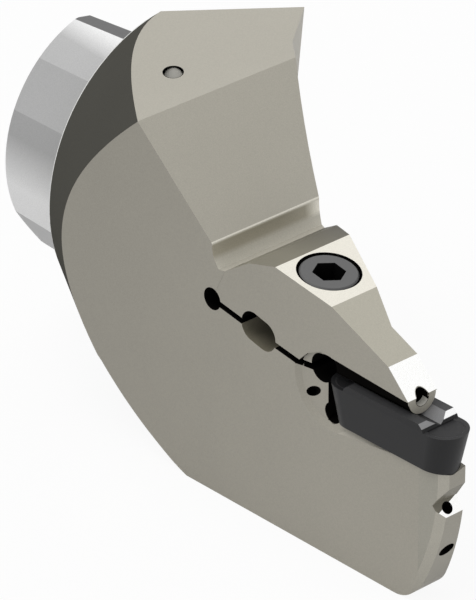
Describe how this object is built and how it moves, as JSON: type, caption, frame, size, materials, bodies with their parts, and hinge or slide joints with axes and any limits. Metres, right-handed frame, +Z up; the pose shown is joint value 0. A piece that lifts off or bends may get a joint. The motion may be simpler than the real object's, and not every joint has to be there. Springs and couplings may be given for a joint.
{
  "type": "grooving tool head",
  "caption": "Flanged face-grooving head with a tapered flatted shank, a thin support blade and a screw-clamped jaw that holds a slim full-radius insert",
  "frame": {"origin": "on the shank axis, in the contact face of the flange", "axes": "+X along the shank axis towards the cutting end, -Y out of the flat near side, +Z up, square to the top face"},
  "size_m": [0.1236, 0.0638, 0.0638],
  "materials": {
    "head_body": "fine blasted nickel-plated steel, satin",
    "clamp_jaw": "fine blasted nickel-plated steel, satin",
    "clamp_screw": "black oxide steel",
    "grooving_insert": "dark coated carbide, satin",
    "coolant_plug": "black oxide steel"
  },
  "bodies": {
    "head": {"head_body": "head_body", "coolant_plug": "coolant_plug"},
    "jaw": {"clamp_jaw": "clamp_jaw"},
    "screw": {"clamp_screw": "clamp_screw"},
    "insert": {"grooving_insert": "grooving_insert"}
  },
  "joints": [
    {"name": "jaw_open", "type": "hinge", "parent": "head", "child": "jaw", "pos_m": [0.0496, -0.024, 0.008], "axis": [0, -1, 0], "range_deg": [0, 0.35]},
    {"name": "screw_turn", "type": "hinge", "parent": "jaw", "child": "screw", "pos_m": [0.0694, -0.0289, 0.01513], "axis": [0.1465, 0, 0.9892], "range_deg": [0, 45]},
    {"name": "insert_slide", "type": "slide", "parent": "head", "child": "insert", "axis": [1, 0, 0], "range_m": [0, 0.03]}
  ],
  "couplings": [
    {"joint": "screw_turn", "follows": "jaw_open", "ratio": 128}
  ]
}
